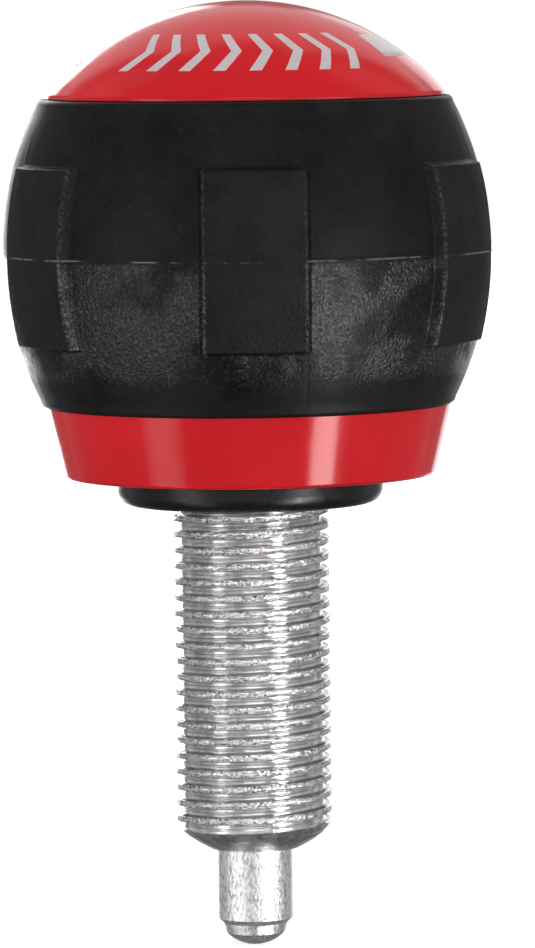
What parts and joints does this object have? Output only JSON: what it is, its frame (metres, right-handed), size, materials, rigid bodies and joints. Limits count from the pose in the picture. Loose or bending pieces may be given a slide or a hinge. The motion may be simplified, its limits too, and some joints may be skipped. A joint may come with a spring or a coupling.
{
  "type": "quick release pin",
  "caption": "Spring-loaded pull pin with a threaded sleeve and a large round grip knob, which locks a telescoping machine frame at a hole.",
  "frame": {"origin": "on the pin's axis, in the plane of the hub's seat face, where the sleeve's thread begins", "axes": "+Z along the axis towards the knob's dome; the sleeve and the plunger point along -Z; one of the grip's pads faces -Y"},
  "size_m": [0.0488, 0.0508, 0.0956],
  "materials": {
    "zinc_steel": "bright zinc plate",
    "pin_steel": "ground and polished",
    "spring_steel": "bright drawn wire",
    "black_nylon": "semi-gloss, moulded",
    "red_plastic": "gloss, moulded",
    "black_rubber": "satin, lightly grained"
  },
  "bodies": {
    "sleeve": {"threaded_sleeve": "zinc_steel", "drive_hub": "black_nylon", "guide_bush": "black_nylon", "plunger_spring": "spring_steel"},
    "knob": {"knob_core": "red_plastic", "grip_sleeve": "black_rubber", "dome_cap": "red_plastic", "plunger_pin": "pin_steel", "plain_washer": "zinc_steel", "lock_washer": "spring_steel", "hex_nut": "zinc_steel"}
  },
  "joints": [
    {"name": "knob_pull", "type": "slide", "parent": "sleeve", "child": "knob", "axis": [0, 0, 1], "range_m": [0, 0.01], "stiffness_N_per_m": 2000, "springref_m": -0.008, "deforming": ["plunger_spring"]}
  ]
}
